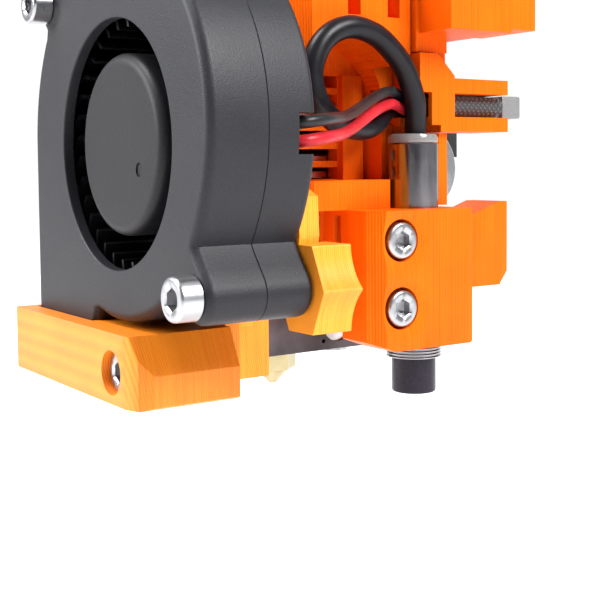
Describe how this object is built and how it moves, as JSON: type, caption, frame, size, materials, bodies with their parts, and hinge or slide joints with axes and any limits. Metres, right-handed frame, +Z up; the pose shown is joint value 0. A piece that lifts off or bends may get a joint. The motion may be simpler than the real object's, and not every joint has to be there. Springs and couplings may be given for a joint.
{
  "type": "3-D printer hotend assembly",
  "caption": "Printer carriage hotend with side blower, air duct, finned heat sink, brass nozzle, clamped levelling probe and its looped cable.",
  "frame": {"origin": "centre of the lower rod bearing, on the rod's axis, in the nozzle's plane", "axes": "+X along the rods to the right, -Y to the front where the blower is, +Z up"},
  "size_m": [0.0752, 0.0774, 0.0908],
  "materials": {
    "orange_print": "3-D printed plastic with fine layer lines",
    "amber_print": "3-D printed plastic with fine layer lines",
    "screw_steel": "plated steel",
    "bearing_steel": "ground and polished",
    "tie_nylon": "moulded nylon",
    "sink_aluminium": "turned",
    "break_steel": "turned",
    "black_plastic": "moulded, fine texture",
    "blower_plastic": "moulded, fine spark texture",
    "fan_plastic": "moulded, half gloss",
    "liner_ptfe": "milky",
    "block_aluminium": "milled",
    "nozzle_brass": "turned",
    "cartridge_steel": "drawn",
    "stator_copper": "wound enamelled wire",
    "probe_chrome": "polished plating",
    "clear_plastic": "clear moulding",
    "probe_face": "half gloss",
    "cable_black": "half gloss jacket",
    "wire_red": "jacket",
    "sleeve_braid": "braided",
    "plug_grey": "moulded"
  },
  "bodies": {
    "root": {"carriage": "orange_print", "cable_guide": "orange_print", "guide_screw": "screw_steel", "belt_clamp": "orange_print", "belt_screws": "screw_steel", "lower_bearing": "bearing_steel", "upper_bearings": "bearing_steel", "bearing_ties": "tie_nylon", "carriage_screws": "screw_steel", "hotend_body": "orange_print", "probe_holder": "orange_print", "front_cover": "orange_print", "cover_screws": "screw_steel", "groove_clamp": "orange_print", "heat_sink": "sink_aluminium", "heat_break": "break_steel", "liner_collet": "black_plastic", "filament_liner": "liner_ptfe", "heater_block": "block_aluminium", "nozzle": "nozzle_brass", "heater_cartridge": "cartridge_steel", "thermistor_cartridge": "cartridge_steel", "block_screws": "screw_steel", "hotend_fan_frame": "black_plastic", "hotend_fan_screws": "screw_steel", "blower_bracket": "amber_print", "bracket_screws": "screw_steel", "blower_front_shell": "blower_plastic", "blower_rear_shell": "blower_plastic", "blower_stator": "stator_copper", "blower_screws": "screw_steel", "blower_nuts": "screw_steel", "air_duct": "orange_print", "duct_screw": "screw_steel", "probe_tube": "probe_chrome", "probe_cap": "clear_plastic", "probe_ring": "probe_chrome", "probe_tip": "probe_face", "clamp_screws": "screw_steel", "clamp_nuts": "screw_steel", "probe_cable": "cable_black", "blower_wire_black": "cable_black", "blower_wire_red": "wire_red", "cable_sleeve": "sleeve_braid", "sleeve_plug": "plug_grey"},
    "blower_rotor": {"blower_impeller": "fan_plastic"},
    "hotend_fan_rotor": {"hotend_fan_impeller": "fan_plastic"}
  },
  "joints": [
    {"name": "blower_spin", "type": "hinge", "parent": "root", "child": "blower_rotor", "pos_m": [0.0215, -0.054, 0.0038], "axis": [0, 1, 0], "continuous": true},
    {"name": "hotend_fan_spin", "type": "hinge", "parent": "root", "child": "hotend_fan_rotor", "pos_m": [-0.019, -0.0266, -0.0032], "axis": [1, 0, 0], "continuous": true}
  ]
}
